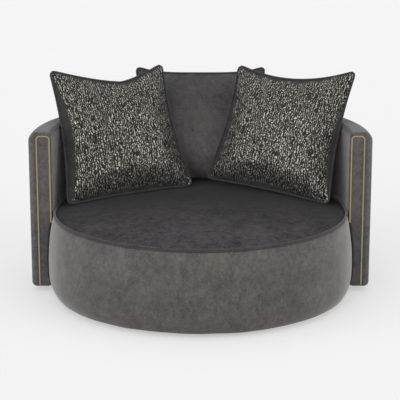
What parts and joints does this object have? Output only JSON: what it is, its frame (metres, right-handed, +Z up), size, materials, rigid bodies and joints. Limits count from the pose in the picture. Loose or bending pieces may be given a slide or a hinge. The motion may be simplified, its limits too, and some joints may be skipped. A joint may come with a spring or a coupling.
{
  "type": "cuddle chair",
  "caption": "Round upholstered cuddle chair with a wrap-around arm and back shell, metal trim loops on the arm fronts and loose cushions.",
  "frame": {"origin": "on the floor under the middle of the whole chair", "axes": "+Z up, -Y towards the front of the seat, +X towards the right arm as seen from the front"},
  "size_m": [1.496, 1.417, 0.9474],
  "materials": {
    "velvet": "matte",
    "patterned_velvet": "matte",
    "foam": "matte",
    "fibre": "matte",
    "webbing": "matte",
    "lining": "matte",
    "plywood": "satin",
    "pine": "satin",
    "hardboard": "matte",
    "brass": "satin",
    "steel": "satin",
    "plastic": "matte"
  },
  "bodies": {
    "chair": {"arm_front_cover_left": "velvet", "arm_front_cover_right": "velvet", "arm_front_pad_left": "plywood", "arm_front_pad_right": "plywood", "arm_trim_left": "brass", "arm_trim_right": "brass", "drum_bottom_ring": "plywood", "drum_cross_beam": "pine", "drum_dust_cover": "lining", "drum_post_back": "pine", "drum_post_front": "pine", "drum_post_left": "pine", "drum_post_right": "pine", "drum_top_ring": "plywood", "drum_wall_board": "hardboard", "drum_wall_cover": "velvet", "drum_wall_padding": "foam", "glide_1": "plastic", "glide_2": "plastic", "glide_3": "plastic", "glide_4": "plastic", "link_plate_back": "steel", "link_plate_left": "steel", "link_plate_right": "steel", "seat_cover": "velvet", "seat_foam": "foam", "seat_strap_cross_1": "webbing", "seat_strap_cross_2": "webbing", "seat_strap_cross_3": "webbing", "seat_strap_long_1": "webbing", "seat_strap_long_2": "webbing", "seat_welt": "velvet", "shell_bottom_rail": "plywood", "shell_inner_board": "hardboard", "shell_inner_cover": "velvet", "shell_inner_padding": "foam", "shell_outer_board": "hardboard", "shell_outer_cover": "velvet", "shell_outer_padding": "foam", "shell_top_padding": "foam", "shell_top_rail": "plywood", "shell_upright_1": "pine", "shell_upright_2": "pine", "shell_upright_3": "pine", "shell_upright_4": "pine", "shell_upright_5": "pine"},
    "back_cushion": {"back_cushion_filling": "fibre", "back_cushion_front_cover": "velvet", "back_cushion_piping": "velvet", "back_cushion_rear_cover": "velvet"},
    "scatter_cushion_left": {"scatter_cushion_left_filling": "fibre", "scatter_cushion_left_front_cover": "patterned_velvet", "scatter_cushion_left_piping": "velvet", "scatter_cushion_left_rear_cover": "velvet"},
    "scatter_cushion_right": {"scatter_cushion_right_filling": "fibre", "scatter_cushion_right_front_cover": "patterned_velvet", "scatter_cushion_right_piping": "velvet", "scatter_cushion_right_rear_cover": "velvet"}
  },
  "joints": [
    {"name": "lift_back_cushion", "type": "slide", "parent": "chair", "child": "back_cushion", "axis": [0, 0.2079, 0.9781], "range_m": [0, 0.4]},
    {"name": "lift_scatter_left", "type": "slide", "parent": "chair", "child": "scatter_cushion_left", "axis": [0, 0, 1], "range_m": [0, 0.4]},
    {"name": "lift_scatter_right", "type": "slide", "parent": "chair", "child": "scatter_cushion_right", "axis": [0, 0, 1], "range_m": [0, 0.4]}
  ]
}
